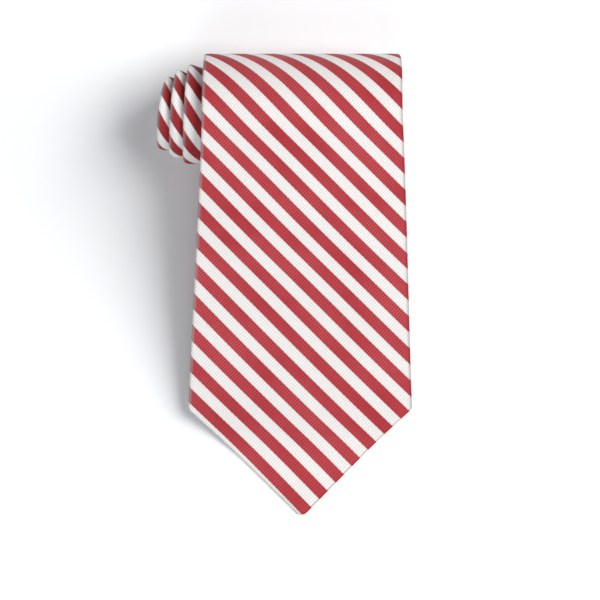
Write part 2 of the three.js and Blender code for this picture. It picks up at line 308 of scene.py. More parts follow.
    def lie(self, s, across, out):
        """The place of each point, in metres."""
        s, across, out = np.broadcast_arrays(*(np.asarray(v, float) for v in (s, across, out)))
        out = out + self.wave(s, across) + self.flare(s, across + self.half_width(s))
        angle = self.angle_at(s)
        bend = np.clip((s - self.flat_length) / self.lift_radius, 0, self.slope)
        beyond = np.clip(s - self.flat_length - self.lift_radius * self.slope, 0, None)
        flap_y = self.point_y + np.minimum(s, self.flat_length) + self.lift_radius * np.sin(bend)
        flap_y = flap_y + beyond * math.cos(self.slope) - out * np.sin(bend)
        flap_z = self.face + self.lift_radius * (1 - np.cos(bend)) + beyond * math.sin(self.slope)
        flap_z = flap_z + out * np.cos(bend)
        reach = self.radius(angle) + out
        wound = s > self.flap_length
        y = np.where(wound, self.coil_y + reach * np.sin(angle), flap_y)
        z = np.where(wound, self.coil_z + reach * np.cos(angle), flap_z)
        x = self.centre_x + self.side_shift(s, angle) + self.lean(s) + across
        return np.stack((x, y, np.maximum(z, 0.01)), axis=-1) * MM

    def stations(self, start, end, steps_per_turn):
        """Distances along the strip, evenly spaced on the flap and evenly turned on the coil."""
        on_flap = np.arange(0, self.flap_length, self.FLAP_STEP)
        last = self.angle_at(self.tie_length)
        turned = np.arange(-self.slope, last + 0.2, TURN / steps_per_turn)
        places = np.concatenate((on_flap, self.distance_at(turned), self.point_stations()))
        places = np.unique(places[(places > start + 0.05) & (places < end - 0.05)])
        places = places[np.concatenate(([True], np.diff(places) > 0.04))]
        return np.concatenate(([start], places, [end]))

    def point_stations(self):
        """Closer distances at both points and their corners."""
        near = np.array((0.15, 0.3, 0.5, 0.8, 1.2, 1.7, 2.2))
        corner = np.linspace(-3, 3, 13)
        return np.concatenate(
            (near, self.tie_length - near, self.blade_corner + corner, self.tail_corner + corner)
        )


# ---------------- meshes


def new_piece(name, points, faces, weave, material, fold=None):
    """A smooth mesh with its place in its vertices and the cloth's own flat coordinates on them.

    fold is 1 on a pressed fold at the right and -1 on one at the left, and falls to 0 beside it. The cloth's
    material paints shade along the right fold and a highlight along the left one.
    """
    mesh = bpy.data.meshes.new(name)
    mesh.from_pydata(points.reshape(-1, 3).tolist(), [], faces)
    flat = mesh.attributes.new("weave", "FLOAT_VECTOR", "POINT")
    flat.data.foreach_set("vector", np.asarray(weave, np.float32).ravel())
    if fold is not None:
        # The fold mask that carries the painted shade on the right fold and the painted highlight on the
        # left one
        fold_paint = mesh.attributes.new("fold", "FLOAT", "POINT")
        fold_paint.data.foreach_set("value", np.asarray(fold, np.float32).ravel())
    mesh.shade_smooth()
    mesh.materials.append(material)
    mesh.validate()
    piece = bpy.data.objects.new(name, mesh)
    bpy.context.scene.collection.objects.link(piece)
    return piece


def skin_faces(rows, width):
    """Quads between rows of closed loops, with thin caps at both ends.

    The first half of each loop is one side of the sheet, and the second half is the other side, backwards.
    """
    i = np.arange(rows - 1)[:, None] * width
    j = np.arange(width)[None, :]
    k = (j + 1) % width
    sides = np.stack((i + j, i + width + j, i + width + k, i + k), axis=-1).reshape(-1, 4)
    a = np.arange(width // 2 - 1)
    b = width - 1 - a
    first = np.stack((a, a + 1, b - 1, b), axis=-1)
    last = np.stack((b, b - 1, a + 1, a), axis=-1) + (rows - 1) * width
    return np.concatenate((sides, first, last)).tolist()


def sheet_loops(middle, thickness):
    """Closed loops round a sheet's middle line, for each row. middle is rows x points x (across, out)."""
    along = np.gradient(middle, axis=1)
    along /= np.maximum(np.linalg.norm(along, axis=-1, keepdims=True), 1e-9)
    aside = np.stack((-along[..., 1], along[..., 0]), axis=-1) * (thickness / 2)
    return np.concatenate((middle + aside, (middle - aside)[:, ::-1]), axis=1)


def developed(middle, centre):
    """The distance of each point of the middle line from its point number centre, measured on the cloth."""
    steps = np.linalg.norm(np.diff(middle, axis=1), axis=-1)
    run = np.concatenate((np.zeros((len(middle), 1)), np.cumsum(steps, axis=1)), axis=1)
    return run - run[:, centre : centre + 1]


# Where the cloth gives sideways and shortens, in millimetres along or in turns of the coil
BLADE_GIVE, BLADE_GIVES = 0.08, (40, 175)
COIL_GIVE, COIL_GIVES = 0.37, (0.3, 3.4)
LAID_SHARE = 0.977
WOUND_SHARE = 0.044
# The turns of the coil over which the inner turns' painted light and shade come in
INNER_PAINT_TURNS = (0.5, 1.5)
CREEP_FROM_TURN = 0.5
CREEP_REACH = 12


def weave_place(strip, s, across):
    """Where a point of the cloth lies in its pattern, and how much of the inner turns' painted light and
    shade it takes.

    The bias cloth has given a little wherever it bends. Cloth inside the coil takes painted light on its
    white stripes and painted shade on its red ones.
    """
    turn = strip.angle_at(s) / TURN
    coiled = softly(turn, *COIL_GIVES)
    sideways = across + strip.lean(s) + strip.side_shift(s, turn * TURN) * coiled
    give = 1 + BLADE_GIVE * softly(s, *BLADE_GIVES) + COIL_GIVE * coiled
    wound = np.maximum(s - strip.distance_at(TURN / 2), 0)
    at, _, _, creep = zip(*strip.FREE_TURNS, strict=True)
    crept = gently(turn, (CREEP_FROM_TURN, *at), (0, *creep))
    crept = crept + gently(s, *zip(*strip.BLADE_CREEP, strict=True), reach=CREEP_REACH)
    lengthwise = s * LAID_SHARE - wound * WOUND_SHARE + crept
    return sideways * give, lengthwise, softly(turn, *INNER_PAINT_TURNS)


def make_sheet(name, strip, s, middle, thickness, centre, material, fold=None):
    """A closed sheet from its middle line at each distance along, with its flat size and its area."""
    loops = sheet_loops(middle, thickness)
    points = strip.lie(s[:, None], loops[..., 0], loops[..., 1])
    flat = developed(middle, centre)
    both = np.concatenate((flat, flat[:, ::-1]), axis=1)
    u, v, inner_paint = weave_place(strip, s[:, None], both)
    weave = np.stack(np.broadcast_arrays(u, v, inner_paint), axis=-1) * MM
    if fold is not None:
        fold = np.concatenate((fold, fold[:, ::-1]), axis=1)
    piece = new_piece(name, points, skin_faces(len(s), loops.shape[1]), weave, material, fold)
    widths = flat[:, -1] - flat[:, 0]
    area = float(np.sum((widths[1:] + widths[:-1]) / 2 * np.diff(s)))
    return piece, (float(widths.max()) * MM, float(s[-1] - s[0]) * MM), area * MM * MM


BEND_BEHIND = 11 * MM
BEND_IN_FRONT = 21 * MM


def over_lift(piece):
    """Bakes the place of cloth that crosses the lifting line into its mesh."""
    pivot = LIFT["pos_m"]
    start = (pivot[0], pivot[1] + BEND_BEHIND, pivot[2])
    end = (pivot[0], pivot[1] - BEND_IN_FRONT, pivot[2])
    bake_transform(piece)


# ---------------- shader expressions


class Wire:
    """A shader socket. Used in an expression, it adds the Math nodes that work the expression out."""

    def __init__(self, board, socket):
        self.board, self.socket = board, socket

    def maths(self, operation, *others):
        inputs = dict(enumerate((self, *others)))
        return self.board.node("ShaderNodeMath", {"operation": operation}, inputs)

    def __add__(self, other):
        return self.maths("ADD", other)

    def __sub__(self, other):
        return self.maths("SUBTRACT", other)

    def __mul__(self, other):
        return self.maths("MULTIPLY", other)

    def __truediv__(self, other):
        return self.maths("DIVIDE", other)

    def __pow__(self, other):
        return self.maths("POWER", other)

    def __rsub__(self, other):
        return self.board.node("ShaderNodeMath", {"operation": "SUBTRACT"}, {0: other, 1: self})

    __radd__ = __add__
    __rmul__ = __mul__

    def __abs__(self):
        return self.maths("ABSOLUTE")

    def floor(self):
        return self.maths("FLOOR")

    def fract(self):
        return self.maths("FRACT")

    def clamped(self):
        return self.board.node("ShaderNodeClamp", {}, {"Value": self, "Min": 0.0, "Max": 1.0})


class Board:
    """One material's node tree, with its shader."""

    def __init__(self, name, roughness, sheen=0.0, specular=0.3):
        self.material = bpy.data.materials.new(name)
        self.material.use_nodes = True
        self.tree = self.material.node_tree
        self.shader = self.tree.nodes["Principled BSDF"]
        self.shader.inputs["Roughness"].default_value = roughness
        self.shader.inputs["Specular IOR Level"].default_value = specular
        self.shader.inputs["Sheen Weight"].default_value = sheen
        self.shader.inputs["Sheen Roughness"].default_value = 0.5

    def feed(self, socket, value):
        if isinstance(value, Wire):
            self.tree.links.new(value.socket, socket)
        elif hasattr(value, "__len__") and len(value) == 3 and socket.type == "RGBA":
            socket.default_value = (*value, 1)
        else:
            socket.default_value = value

    def node(self, kind, settings, inputs, output=0):
        node = self.tree.nodes.new(kind)
        for name, value in settings.items():
            setattr(node, name, value)
        for name, value in inputs.items():
            self.feed(node.inputs[name], value)
        return Wire(self, node.outputs[output])

    def mix(self, share, first, second):
        return self.node("ShaderNodeMix", {"data_type": "RGBA"}, {0: share, 6: first, 7: second}, output=2)

    def shade(self, colour, value):
        """The colour times a number."""
        return self.node(
            "ShaderNodeVectorMath", {"operation": "SCALE"}, {"Vector": colour, "Scale": value}
        )

    def weave(self):
        """The cloth's flat coordinates in millimetres, across and along, and how much of the inner turns'
        painted light and shade it takes, from 0 to 1.
        """
        flat = self.node(
            "ShaderNodeAttribute", {"attribute_type": "GEOMETRY", "attribute_name": "weave"}, {}, output=1
        )
        split = self.node("ShaderNodeSeparateXYZ", {}, {"Vector": flat})
        along, inner_paint = (Wire(self, split.socket.node.outputs[i]) for i in (1, 2))
        return split * (1 / MM), along * (1 / MM), inner_paint * (1 / MM)

    def fold(self):
        """1 on a pressed fold at the right, -1 on one at the left: where painted shade and a painted
        highlight go.
        """
        return self.node(
            "ShaderNodeAttribute", {"attribute_type": "GEOMETRY", "attribute_name": "fold"}, {}, output=2
        )

    def space(self):
        return self.node("ShaderNodeTexCoord", {}, {}, output=3)

    def noise(self, place, scale, detail=2.0, roughness=0.5):
        inputs = {"Vector": place, "Scale": scale, "Detail": detail, "Roughness": roughness}
        return self.node("ShaderNodeTexNoise", {}, inputs)

    def flat_vector(self, x, y):
        return self.node("ShaderNodeCombineXYZ", {}, {"X": x, "Y": y})

    def bump(self, height, depth, strength=1.0):
        return self.node(
            "ShaderNodeBump", {}, {"Height": height, "Distance": depth * MM, "Strength": strength}
        )

    def finish(self, colour, roughness=None, normal=None):
        self.feed(self.shader.inputs["Base Color"], colour)
        if roughness is not None:
            self.feed(self.shader.inputs["Roughness"], roughness)
        if normal is not None:
            self.feed(self.shader.inputs["Normal"], normal)
        return self.material


def cord_profile(place):
    """A rounded cord over each whole step of the given place, from 0 between cords to 1 on top."""
    return 1 - (place.fract() * 2 - 1) ** 2


# ---------------- finishes

FINISHES = {}


def finish_of(name):
    """The material of that name, made the first time it is asked for."""
    if name not in FINISHES:
        makers = {
            "striped_cloth": striped_cloth,
            "interlining_wool": interlining_wool,
            "lining_satin": lining_satin,
            "sewing_thread": sewing_thread,
            "label_ribbon": label_ribbon,
        }
        FINISHES[name] = makers[name](bpy.context.scene.tie_weave)
    return FINISHES[name]


# Colours of the striped cloth where they differ from the two main yarns. The first two are yarns; the next
# two paint the coil's inner turns, a deeper red as shade and a brighter white as light; the last is a
# painted highlight on the left fold.
FLECK = [0.66, 0.145, 0.155]
FRINGE = [0.93, 0.68, 0.67]
INNER_RED_SHADE = [0.36, 0.022, 0.028]
INNER_WHITE_LIGHT = [0.95, 0.925, 0.905]
LEFT_FOLD_HIGHLIGHT = [0.90, 0.78, 0.76]

# How far a stripe's edge steps along each rib and on every other rib, and how soft it is, in millimetres
RIB_STEP, OTHER_RIB_STEP, EDGE_SOFTNESS = 0.16, 0.06, 0.3
# The pink fringe beside a stripe and the dark line along it: (distance inside its edge, half width)
FRINGE_LINE = (-0.35, 0.45)
SHADOW_LINE = (0.1, 0.35)


def line_at(from_edge, centre, half):
    """1 on a line beside a stripe's edge, and falling to 0 on both sides of it."""
    return (1 - abs(from_edge - centre) / half).clamped()


def striped_cloth(weave):
    """Ribbed weave on the bias: ribs run square across the stripes, and every thread steps with the ribs."""
    board = Board("striped_cloth", roughness=0.62, sheen=0.04, specular=0.2)
    across, along, inner_paint = board.weave()
    square = (across + along) * math.sqrt(0.5)
    lengthwise = (across - along) * math.sqrt(0.5)
    rib = lengthwise / (weave.rib_pitch / MM)
    rib_number = rib.floor()
    other_rib = (rib_number * 0.5).fract() * 2
    cord = cord_profile(rib)
    end = square / (weave.end_pitch / MM) + other_rib * 0.5
    strand = cord_profile(end)

    # Stripes, with edges that step from rib to rib
    pitch = weave.stripe_pitch / MM
    stepped = square + (rib.fract() - 0.5) * RIB_STEP + other_rib * OTHER_RIB_STEP
    off_centre = abs((stepped / pitch - weave.red_share / 2 + 0.5).fract() - 0.5)
    from_edge = (weave.red_share / 2 - off_centre) * pitch
    fringe = line_at(from_edge, *FRINGE_LINE)
    redness = (from_edge / EDGE_SOFTNESS + 0.5).clamped()
    shadow_line = line_at(from_edge, *SHADOW_LINE)

    # Uneven yarn: each thread has its own shade, and long soft patches cross many threads
    numbers = board.flat_vector(end.floor(), rib_number * 0.37)
    own_shade = board.node("ShaderNodeTexWhiteNoise", {"noise_dimensions": "3D"}, {"Vector": numbers})
    place = board.flat_vector(across, along)
    patches = board.noise(place, 0.035, detail=3.0)
    slubs = board.noise(board.flat_vector(square * 0.15, lengthwise * 1.6), 1.0, detail=2.0)

    hollow = (1 - cord) * (1 - strand * 0.5)
    flecks = (1 - cord) * cord_profile(square / (weave.fleck_pitch / MM) + other_rib * 0.5)
    bloom = (patches * 3 - 1).clamped()
    red = board.mix(flecks * (0.35 + bloom * 1.1), weave.red, FLECK)
    # Inner turns of the coil: a deeper red as painted shade and a brighter white as painted light
    red = board.mix(inner_paint, red, INNER_RED_SHADE)
    white = board.mix(inner_paint, weave.white, INNER_WHITE_LIGHT)
    white = board.mix(fringe * 0.7, white, FRINGE)

    # The left fold catches the light and the right one is in its own shade
    fold = board.fold()
    yarn = board.mix((fold * -0.3).clamped(), board.mix(redness, white, red), LEFT_FOLD_HIGHLIGHT)
    shade = 0.75 + cord * 0.25 + strand * 0.05 + own_shade * 0.06 + patches * 0.06 + slubs * 0.05
    # Painted shade: a thin dark line along each stripe's edge, and the right fold darkened
    shade = shade * (1 - shadow_line * 0.28) * (1 - fold.clamped() * 0.5)
    height = cord * 0.7 + cord * strand * 0.3 + own_shade * 0.06
    return board.finish(
        board.shade(yarn, shade - 0.06),
        roughness=0.56 + hollow * 0.2 + slubs * 0.08,
        normal=board.bump(height, 0.1, strength=0.8),
    )


def interlining_wool(weave):
    """Brushed open wool."""
    board = Board("interlining_wool", roughness=0.95, sheen=0.5, specular=0.15)
    across, along, _ = board.weave()
    place = board.flat_vector(across, along)
    fluff = board.noise(place, 1.8, detail=6.0, roughness=0.7)
    weft = cord_profile(along / 1.1)
    warp = cord_profile(across / 0.9)
    grid = weft * 0.5 + warp * 0.5
    tone = board.shade(board.mix(fluff, weave.wool, [0.85, 0.81, 0.72]), 0.72 + grid * 0.2 + fluff * 0.15)
    return board.finish(tone, roughness=0.86 + fluff * 0.12, normal=board.bump(grid * 0.5 + fluff, 0.16))


def lining_satin(weave):
    """Smooth satin with fine slanting floats."""
    board = Board("lining_satin", roughness=0.38, sheen=0.15, specular=0.5)
    across, along, _ = board.weave()
    floats = cord_profile((across * 0.35 + along) / 0.32)
    streaks = board.noise(board.flat_vector(across * 0.2, along * 4), 0.8, detail=3.0)
    tone = board.shade(weave.lining, 0.8 + floats * 0.2 + streaks * 0.25)
    return board.finish(
        tone, roughness=0.32 + streaks * 0.14, normal=board.bump(floats + streaks * 0.6, 0.025)
    )


def sewing_thread(weave):
    """Two-ply thread, with its twist."""
    board = Board("sewing_thread", roughness=0.55, sheen=0.2, specular=0.35)
    across, along, _ = board.weave()
    twist = cord_profile((across * 1.6 + along) / 0.28)
    fuzz = board.noise(board.space(), 2600.0, detail=3.0)
    tone = board.shade(weave.thread, 0.72 + twist * 0.28 + fuzz * 0.2)
    return board.finish(tone, roughness=0.5 + fuzz * 0.15, normal=board.bump(twist + fuzz * 0.3, 0.05))


def label_ribbon(weave):
    """Woven ribbon with close ribs across it."""
    board = Board("label_ribbon", roughness=0.5, sheen=0.2, specular=0.35)
    across, along, _ = board.weave()
    ribs = cord_profile(along / 0.4)
    ends = cord_profile(across / 0.22)
    cloud = board.noise(board.flat_vector(across, along), 0.3, detail=4.0)
    tone = board.shade(weave.label, 0.86 + ribs * 0.08 + ends * 0.04 + cloud * 0.06)
    return board.finish(tone, roughness=0.46 + cloud * 0.1, normal=board.bump(ribs * 0.7 + ends * 0.3, 0.04))


# ---------------- the envelope


# Where its half width is less than this, near its points, the folded cloth flattens
FLATTENS_AT = 1.6
# How far the left back wing tucks in, the right one stands out over it, and the free face is crowned
TUCK, COVER, CROWN = 0.3, 0.28, 0.16


def column(values):
    return values[:, None]


def envelope_middle(strip, s, front_points, wing_points, fold_points):
    """The folded cloth's middle line at each distance along, from the left back wing to the right one."""
    half = strip.half_width(s) - strip.cloth / 2
    squash = np.clip(half / FLATTENS_AT, 0.1, 1)
    level = (strip.face - strip.cloth / 2) * squash
    curl = np.minimum(strip.fold_round * squash, half * 0.6)
    reach = half - curl
    wing_left, wing_right = wing_edges(strip, s, half)
    coiled = softly(s, strip.flap_length - 41, strip.flap_length - 11)
    closed_left = softly(s, strip.blade_opening - 4, strip.blade_opening + 8)
    closed_right = softly(s, strip.blade_opening - 8, strip.blade_opening + 4)

    t = np.linspace(0, 1, wing_points)[None, :] ** 0.8
    left_u = column(wing_left) + (-column(reach) - column(wing_left)) * t
    tucked = softly(left_u, -9, -4) * column(closed_left)
    left_n = -column(level) + TUCK * column(coiled * squash) * tucked
    right_u = column(reach) + (column(wing_right) - column(reach)) * (1 - t[:, ::-1])
    covering = (1 - softly(right_u, 6, 11)) * column(closed_right)
    right_n = -column(level) - COVER * column(1 - coiled) * covering

    turn = np.linspace(0, math.pi, fold_points + 2)[None, 1:-1]
    fold_left_u = -column(reach) - column(curl) * np.sin(turn)
    fold_n = -column(level) * np.cos(turn)
    fold_right_u = column(reach) + column(curl) * np.sin(turn)

    f = spread(front_points)[None, :]
    front_u = column(reach) * f
    crown = CROWN * (1 - f**4) * column((1 - softly(s, 120, strip.flap_length)) * squash)
    front_n = column(level) + crown + strip.puff(column(s), front_u + column(half))

    u = np.concatenate((left_u, fold_left_u, front_u, fold_right_u, right_u), axis=1)
    n = np.concatenate((left_n, fold_n, front_n, -fold_n, right_n), axis=1)
    n[:, wing_points : wing_points + fold_points] += strip.puff(column(s), fold_left_u + column(half))
    centre = wing_points + fold_points + front_points // 2
    return np.stack((u, n), axis=-1), centre


def spread(count):
    """Places from -1 to 1 that crowd towards both ends."""
    even = np.linspace(-1, 1, count)
    return even * (1 + 0.4 * (1 - even**2))


def wing_edges(strip, s, half):
    """Where the free edges of the two back wings lie. Near the points they part and become the hem."""
    hemmed = np.maximum(half - strip.hem, np.minimum(0.15, half * 0.3))
    seam_left, seam_right = strip.overlap - 1, -1
    from_end = strip.tie_length - s
    blade = softly(s, strip.blade_corner - 2, strip.blade_opening + 3)
    tail = softly(from_end, strip.tie_length - strip.tail_corner - 2, strip.tail_opening + 3)
    closed = blade * tail
    left = -hemmed + (seam_left + hemmed) * closed
    right = hemmed + (seam_right - hemmed) * closed
    return left, right


# How far in from a fold's edge its painted shade and painted highlight reach, in millimetres
FOLD_PAINT_WITHIN = (0.2, 1.5)


def sew_envelope(strip, name, start, end, detail, replaces):
    """One length of the striped cloth, folded into its envelope."""
    s = strip.stations(start, end, steps_per_turn=detail["turn"])
    middle, centre = envelope_middle(strip, s, detail["front"], detail["wing"], detail["fold"])
    squash = np.clip(strip.half_width(s) / FLATTENS_AT, 0.2, 1)[:, None, None]
    inward = strip.half_width(s)[:, None] - np.abs(middle[..., 0])
    # The mask for the painted shade on the right fold and the painted highlight on the left one
    fold = np.sign(middle[..., 0]) * (1 - softly(inward, *FOLD_PAINT_WITHIN))
    piece, flat, area = make_sheet(
        name, strip, s, middle, strip.cloth * squash, centre, finish_of("striped_cloth"), fold
    )
    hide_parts(replaces)
    return piece


SPLIT_GAP = 0.02
EDGE_GAP = 0.05
SEAM_GAP = 0.2


def half_turn(strip):
    """Where the blade's pieces end and the coiled pieces start: under the coil, on the floor."""
    return float(strip.distance_at(math.radians(188)))


class TIE_OT_envelope(bpy.types.Operator):
    """Cut and fold the striped cloth: blade, neck piece and narrow end"""

    bl_idname = "tie.envelope"
    bl_label = "Envelope"

    def execute(self, context):
        strip = Strip(context.scene.tie_sizes)
        fine = {"front": 49, "wing": 17, "fold": 9, "turn": 110}
        plain = {"front": 15, "wing": 10, "fold": 5, "turn": 84}
        split = half_turn(strip)
        blade = sew_envelope(strip, "blade_cloth", EDGE_GAP, split, fine, "blade_shell_flap")
        over_lift(blade)
        neck, tail = strip.neck_join, strip.tail_join
        lengths = (
            ("coiled_blade_cloth", split + SPLIT_GAP, neck - SEAM_GAP, "blade_shell_coil"),
            ("neck_cloth", neck + SEAM_GAP, tail - SEAM_GAP, "neck_shell"),
            ("narrow_end_cloth", tail + SEAM_GAP, strip.tie_length - EDGE_GAP, "tail_shell"),
        )
        for name, start, end, node in lengths:
            piece = sew_envelope(strip, name, start, end, plain, node)
            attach(piece, "coil")
        return {"FINISHED"}


# ---------------- inside layers


LAYER_TURN_STEPS = 84
# Room left between a layer inside and the folds beside it, and between its end and the point
WOOL_INSET, LINING_INSET, END_INSET = 0.75, 0.7, 1.5


def flat_layer(strip, name, start, end, level, thickness, inset, finish, columns=13):
    """A flat layer inside the envelope, as wide as the folds leave it."""
    s = strip.stations(start, end, LAYER_TURN_STEPS)
    half = np.maximum(strip.half_width(s) - inset, 0.2)
    f = np.linspace(1, -1, columns)[None, :]
    middle = np.stack((half[:, None] * f, np.full((len(s), columns), level)), axis=-1)
    piece, flat, area = make_sheet(
        name, strip, s, middle[:, ::-1], thickness, columns // 2, finish_of(finish)
    )
    return piece


class TIE_OT_interlining(bpy.types.Operator):
    """Lay the two lengths of wool inside the cloth"""

    bl_idname = "tie.interlining"
    bl_label = "Interlining"

    def execute(self, context):
        strip = Strip(context.scene.tie_sizes)
        level = strip.face - strip.cloth - strip.layer_gap - strip.interlining / 2
        split = half_turn(strip)
        join_from, join_to = strip.interlining_join - 0.15, strip.interlining_join + 0.15
        last = strip.tie_length - END_INSET
        runs = (
            ("blade_interlining", END_INSET, split, "interlining_flap"),
            ("coiled_blade_interlining", split + SPLIT_GAP, join_from, "interlining_blade_half"),
            ("narrow_interlining", join_to, last, "interlining_tail_half"),
        )
        for name, start, end, node in runs:
            piece = flat_layer(
                strip, name, start, end, level, strip.interlining, WOOL_INSET, "interlining_wool"
            )
            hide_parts(node)
            if node == "interlining_flap":
                over_lift(piece)
            else:
                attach(piece, "coil")
        return {"FINISHED"}


class TIE_OT_linings(bpy.types.Operator):
    """Line both points with satin"""

    bl_idname = "tie.linings"
    bl_label = "Linings"

    def execute(self, context):
        strip = Strip(context.scene.tie_sizes)
        level = -strip.face + strip.cloth + strip.layer_gap + strip.lining / 2
        blade_to = strip.blade_opening + 18
        tail_from = strip.tie_length - strip.tail_opening - 12
        tail_to = strip.tie_length - END_INSET
        ends = (
            ("blade_lining", END_INSET, blade_to, "blade_tipping", "blade"),
            ("narrow_lining", tail_from, tail_to, "tail_tipping", "coil"),
        )
        for name, start, end, node, body in ends:
            piece = flat_layer(
                strip, name, start, end, level, strip.lining, LINING_INSET, "lining_satin", columns=25
            )
            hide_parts(node)
            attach(piece, body)
        return {"FINISHED"}


# ---------------- keeper loop and label

# Middle along the strip, size along it and size across it
LOOP_AT, LOOP_WIDTH, LOOP_SPAN = 118, 12, 48
LABEL_AT, LABEL_LENGTH, LABEL_WIDTH = 142, 18, 26
LOOP_THICKNESS, LABEL_THICKNESS = 0.42, 0.16
# How far behind the tie's back the loop starts to rise and the label's middle lies, and the label's curl
LOOP_AIR, LABEL_AIR, LABEL_CURL = 0.28, 0.43, 0.25


def keeper_middle(strip, s):
    """The band's line across the back: feet down on the wings, the bridge standing a little proud."""
    count = 61
    u = np.linspace(-LOOP_SPAN / 2, LOOP_SPAN / 2, count)
    inward = LOOP_SPAN / 2 - np.abs(u)
    rise = 0.12 + 0.95 * softly(inward, 4.5, 9) + 0.35 * softly(inward, 9, 24)
    n = -(strip.face + LOOP_AIR + rise)
    f = np.clip(2 * (s - LOOP_AT) / LOOP_WIDTH, -1, 1)
    edge = 0.18 * f**6
    return np.stack(np.broadcast_arrays(u[None, :], n[None, :] + edge[:, None]), axis=-1)


class TIE_OT_keeper(bpy.types.Operator):
    """Make the keeper loop on the blade's back"""

    bl_idname = "tie.keeper"
    bl_label = "Keeper loop"

    def execute(self, context):
        strip = Strip(context.scene.tie_sizes)
        half = LOOP_WIDTH / 2
        s = LOOP_AT + half * np.sin(np.linspace(-math.pi / 2, math.pi / 2, 25))
        middle = keeper_middle(strip, s)
        round_edge = np.sqrt(np.clip(1 - ((s - LOOP_AT) / half) ** 8, 0.12, 1))[:, None, None]
        thickness, centre = LOOP_THICKNESS * round_edge, middle.shape[1] // 2
        piece, flat, area = make_sheet(
            "keeper_band", strip, s, middle, thickness, centre, finish_of("striped_cloth")
        )
        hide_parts("keeper_loop")
        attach(piece, "blade")
        return {"FINISHED"}


class TIE_OT_label(bpy.types.Operator):
    """Lay the blank care label on the blade's back"""

    bl_idname = "tie.label"
    bl_label = "Care label"

    def execute(self, context):
        strip = Strip(context.scene.tie_sizes)
        s = np.linspace(LABEL_AT - LABEL_LENGTH / 2, LABEL_AT + LABEL_LENGTH / 2, 31)
        u = np.linspace(-LABEL_WIDTH / 2, LABEL_WIDTH / 2, 41)
        corner = column(softly(LABEL_AT - s, 0, LABEL_LENGTH / 2)) * (u[None, :] / LABEL_WIDTH * 2) ** 2
        n = -(strip.face + LABEL_AIR) - LABEL_CURL * corner
        middle = np.stack(np.broadcast_arrays(u[None, :], n), axis=-1)
        piece, flat, area = make_sheet(
            "blank_label", strip, s, middle, LABEL_THICKNESS, len(u) // 2, finish_of("label_ribbon")
        )
        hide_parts("care_label")
        over_lift(piece)
        return {"FINISHED"}


# ---------------- sewing


def stitch_shape():
    """One stitch, a millimetre long and thick: a short thread whose ends dive into the cloth."""
    bpy.ops.object.select_all(action="DESELECT")
    bpy.ops.mesh.primitive_cylinder_add(
        vertices=8, radius=0.5, depth=0.6, end_fill_type="NGON", rotation=(0, math.pi / 2, 0)
    )
    stitch = bpy.context.active_object
    bpy.ops.object.transform_apply(rotation=True)
    for side in (-1, 1):
        bpy.ops.object.mode_set(mode="EDIT")
        bpy.ops.mesh.select_all(action="DESELECT")
        bpy.ops.object.mode_set(mode="OBJECT")
        for polygon in stitch.data.polygons:
            polygon.select = polygon.center.x * side > 0.29
        bpy.ops.object.mode_set(mode="EDIT")
        for step_out, step_down, size in ((0.1, -0.12, 0.9), (0.07, -0.25, 0.8), (0.03, -0.3, 0.7)):
            bpy.ops.mesh.extrude_region_move(
                TRANSFORM_OT_translate={"value": (side * step_out, 0, step_down)}
            )
            bpy.ops.transform.resize(value=(1, size, size))
        bpy.ops.object.mode_set(mode="OBJECT")
    points = np.array([v.co for v in stitch.data.vertices])
    faces = [tuple(p.vertices) for p in stitch.data.polygons]
    bpy.data.objects.remove(stitch)
    return points, faces


def sew(strip, name, stitches, thread, replaces):
    """Copies of the stitch at the given (along, across, out, length, turn), joined as one piece."""
    shape, shape_faces = stitch_shape()
    places, faces, weave = [], [], []
    for along, across, out, size, turn in stitches:
        x, y, z = shape[:, 0] * size, shape[:, 1] * thread, shape[:, 2] * thread
        s = along + x * math.cos(turn) - y * math.sin(turn)
        u = across + x * math.sin(turn) + y * math.cos(turn)
        base = len(places) * len(shape)
        places.append(strip.lie(s, u, out - z))
        weave.append(np.stack((y, x, np.zeros_like(x)), axis=-1) * MM)
        faces += [tuple(base + i for i in face) for face in shape_faces]
    piece = new_piece(name, np.concatenate(places), faces, np.concatenate(weave), finish_of("sewing_thread"))
    bpy.context.view_layer.objects.active = piece
    piece.select_set(True)
    bpy.ops.object.mode_set(mode="EDIT")
    bpy.ops.mesh.select_all(action="SELECT")
    bpy.ops.mesh.normals_make_consistent(inside=False)
    bpy.ops.object.mode_set(mode="OBJECT")
    piece.select_set(False)
    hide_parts(replaces)
    return piece


SLIP_PITCH, SLIP_TURN = 9, 0.5
TACK_PITCH, KEEPER_TACK_PITCH, JOIN_PITCH = 0.24, 0.62, 2.2
KEEPER_TACKS = 16


def bar_tack(along, out, width, rows):
    """Close stitches across the seam."""
    return [(along + (i - rows / 2) * TACK_PITCH, -0.5, out, width, math.pi / 2) for i in range(rows)]


